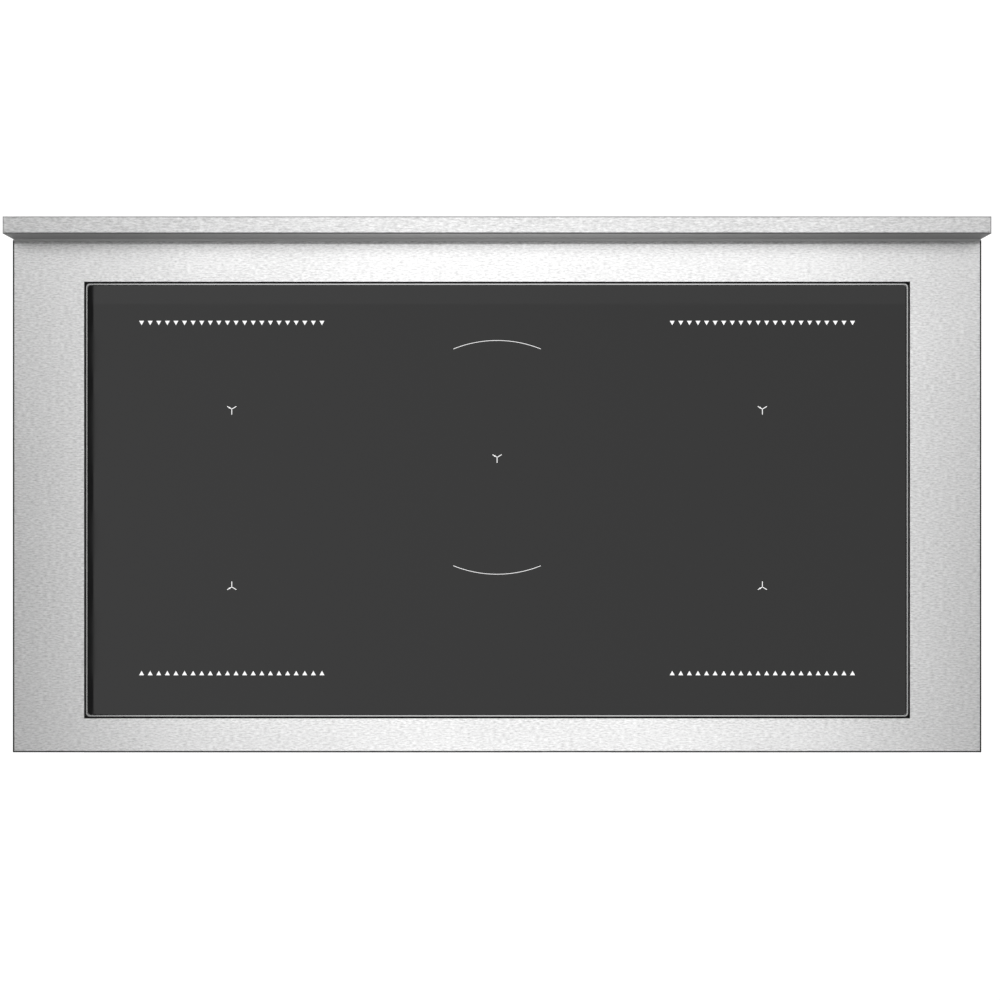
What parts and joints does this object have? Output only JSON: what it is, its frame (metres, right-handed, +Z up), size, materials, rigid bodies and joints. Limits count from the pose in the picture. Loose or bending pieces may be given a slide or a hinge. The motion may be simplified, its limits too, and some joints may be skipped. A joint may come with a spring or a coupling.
{
  "type": "induction range cooker",
  "caption": "Free-standing steel range cooker with a flush glass induction hob, two drop-down oven doors, rotary knobs, a storage drawer and a rear upstand.",
  "frame": {"origin": "middle of the footprint on the floor", "axes": "+X to the right seen from the front, +Y towards the wall, +Z up"},
  "size_m": [1.096, 0.622, 0.95],
  "materials": {
    "brushed_steel": "horizontal brushed grain",
    "ceramic_glass": "polished, opaque black-grey",
    "steel_trim": "satin",
    "black_sealant": "matte",
    "side_paint": "satin grey",
    "galvanised_steel": "zinc coated",
    "frame_enamel": "satin black",
    "oven_enamel": "glossy vitreous enamel with fine flecks",
    "tray_enamel": "glossy vitreous enamel",
    "bright_wire": "bright plated",
    "copper": "enamelled wire",
    "coil_plastic": "matte",
    "circuit_board": "solder mask",
    "black_plastic": "fine texture",
    "display_glass": "polished black",
    "polished_steel": "fine satin",
    "knob_metal": "satin with turned face",
    "mineral_wool": "fibrous",
    "gasket_rubber": "matte",
    "element_sheath": "heat darkened",
    "zinc_plate": "zinc plated",
    "motor_steel": "plain",
    "fan_aluminium": "plain",
    "lamp_glass": "ribbed clear",
    "door_glass": "dark tinted",
    "foot_plastic": "moulded"
  },
  "bodies": {
    "cabinet": {"base_frame": "galvanised_steel", "side_panel_left": "side_paint", "side_panel_right": "side_paint", "back_panel": "galvanised_steel", "front_frame": "frame_enamel", "plinth": "brushed_steel", "worktop": "brushed_steel", "upstand": "brushed_steel", "hob_glass": "ceramic_glass", "glass_trim": "steel_trim", "glass_seal": "black_sealant", "hob_pan": "galvanised_steel", "induction_coils": "copper", "coil_formers": "coil_plastic", "power_boards": "circuit_board", "hob_fan_frame": "black_plastic", "terminal_box": "black_plastic", "control_panel": "brushed_steel", "knob_bezels": "polished_steel", "rotary_switches": "black_plastic", "clock_display": "display_glass", "main_cavity": "oven_enamel", "side_cavity": "oven_enamel", "oven_insulation": "mineral_wool", "oven_gaskets": "gasket_rubber", "shelf_supports": "bright_wire", "heating_elements": "element_sheath", "fan_cover": "oven_enamel", "fan_motor": "motor_steel", "oven_lamps": "lamp_glass", "hinge_brackets": "zinc_plate", "drawer_runners": "galvanised_steel"},
    "knob_front_left": {"knob_front_left": "knob_metal"},
    "knob_rear_left": {"knob_rear_left": "knob_metal"},
    "knob_centre": {"knob_centre": "knob_metal"},
    "knob_rear_right": {"knob_rear_right": "knob_metal"},
    "knob_front_right": {"knob_front_right": "knob_metal"},
    "knob_main_function": {"knob_main_function": "knob_metal"},
    "knob_main_temperature": {"knob_main_temperature": "knob_metal"},
    "knob_side_oven": {"knob_side_oven": "knob_metal"},
    "main_door": {"main_door_skin": "brushed_steel", "main_door_glass": "door_glass", "main_door_handle": "polished_steel", "main_door_hinges": "zinc_plate"},
    "side_door": {"side_door_skin": "brushed_steel", "side_door_glass": "door_glass", "side_door_handle": "polished_steel", "side_door_hinges": "zinc_plate"},
    "drawer": {"drawer_front": "brushed_steel", "drawer_handle": "polished_steel", "drawer_box": "galvanised_steel"},
    "main_shelf": {"main_shelf": "bright_wire"},
    "drip_tray": {"drip_tray": "tray_enamel"},
    "side_shelf": {"side_shelf": "bright_wire"},
    "convection_fan": {"convection_fan": "fan_aluminium"},
    "hob_fan": {"hob_fan": "black_plastic"},
    "foot_front_left": {"foot_front_left": "foot_plastic"},
    "foot_front_right": {"foot_front_right": "foot_plastic"},
    "foot_rear_left": {"foot_rear_left": "foot_plastic"},
    "foot_rear_right": {"foot_rear_right": "foot_plastic"}
  },
  "joints": [
    {"name": "knob_front_left_turn", "type": "hinge", "parent": "cabinet", "child": "knob_front_left", "pos_m": [-0.46, -0.261, 0.811], "axis": [0, 1, 0], "range_deg": [0, 270]},
    {"name": "knob_rear_left_turn", "type": "hinge", "parent": "cabinet", "child": "knob_rear_left", "pos_m": [-0.368, -0.261, 0.811], "axis": [0, 1, 0], "range_deg": [0, 270]},
    {"name": "knob_centre_turn", "type": "hinge", "parent": "cabinet", "child": "knob_centre", "pos_m": [-0.276, -0.261, 0.811], "axis": [0, 1, 0], "range_deg": [0, 270]},
    {"name": "knob_rear_right_turn", "type": "hinge", "parent": "cabinet", "child": "knob_rear_right", "pos_m": [-0.184, -0.261, 0.811], "axis": [0, 1, 0], "range_deg": [0, 270]},
    {"name": "knob_front_right_turn", "type": "hinge", "parent": "cabinet", "child": "knob_front_right", "pos_m": [-0.092, -0.261, 0.811], "axis": [0, 1, 0], "range_deg": [0, 270]},
    {"name": "knob_main_function_turn", "type": "hinge", "parent": "cabinet", "child": "knob_main_function", "pos_m": [0.25, -0.261, 0.811], "axis": [0, 1, 0], "range_deg": [0, 315]},
    {"name": "knob_main_temperature_turn", "type": "hinge", "parent": "cabinet", "child": "knob_main_temperature", "pos_m": [0.342, -0.261, 0.811], "axis": [0, 1, 0], "range_deg": [0, 250]},
    {"name": "knob_side_oven_turn", "type": "hinge", "parent": "cabinet", "child": "knob_side_oven", "pos_m": [0.434, -0.261, 0.811], "axis": [0, 1, 0], "range_deg": [0, 250]},
    {"name": "main_door_hinge", "type": "hinge", "parent": "cabinet", "child": "main_door", "pos_m": [-0.224, -0.238, 0.26], "axis": [1, 0, 0], "range_deg": [0, 90]},
    {"name": "side_door_hinge", "type": "hinge", "parent": "cabinet", "child": "side_door", "pos_m": [0.321, -0.238, 0.26], "axis": [1, 0, 0], "range_deg": [0, 90]},
    {"name": "drawer_slide", "type": "slide", "parent": "cabinet", "child": "drawer", "axis": [0, -1, 0], "range_m": [0, 0.35]},
    {"name": "main_shelf_slide", "type": "slide", "parent": "cabinet", "child": "main_shelf", "axis": [0, -1, 0], "range_m": [0, 0.03]},
    {"name": "drip_tray_slide", "type": "slide", "parent": "cabinet", "child": "drip_tray", "axis": [0, -1, 0], "range_m": [0, 0.03]},
    {"name": "side_shelf_slide", "type": "slide", "parent": "cabinet", "child": "side_shelf", "axis": [0, -1, 0], "range_m": [0, 0.03]},
    {"name": "convection_fan_spin", "type": "hinge", "parent": "cabinet", "child": "convection_fan", "pos_m": [-0.224, 0.196, 0.4825], "axis": [0, 1, 0], "continuous": true},
    {"name": "hob_fan_spin", "type": "hinge", "parent": "cabinet", "child": "hob_fan", "pos_m": [0, -0.1846, 0.852], "axis": [0, 0, 1], "continuous": true},
    {"name": "foot_front_left_height", "type": "slide", "parent": "cabinet", "child": "foot_front_left", "axis": [0, 0, 1], "range_m": [-0.025, 0]},
    {"name": "foot_front_right_height", "type": "slide", "parent": "cabinet", "child": "foot_front_right", "axis": [0, 0, 1], "range_m": [-0.025, 0]},
    {"name": "foot_rear_left_height", "type": "slide", "parent": "cabinet", "child": "foot_rear_left", "axis": [0, 0, 1], "range_m": [-0.025, 0]},
    {"name": "foot_rear_right_height", "type": "slide", "parent": "cabinet", "child": "foot_rear_right", "axis": [0, 0, 1], "range_m": [-0.025, 0]}
  ]
}
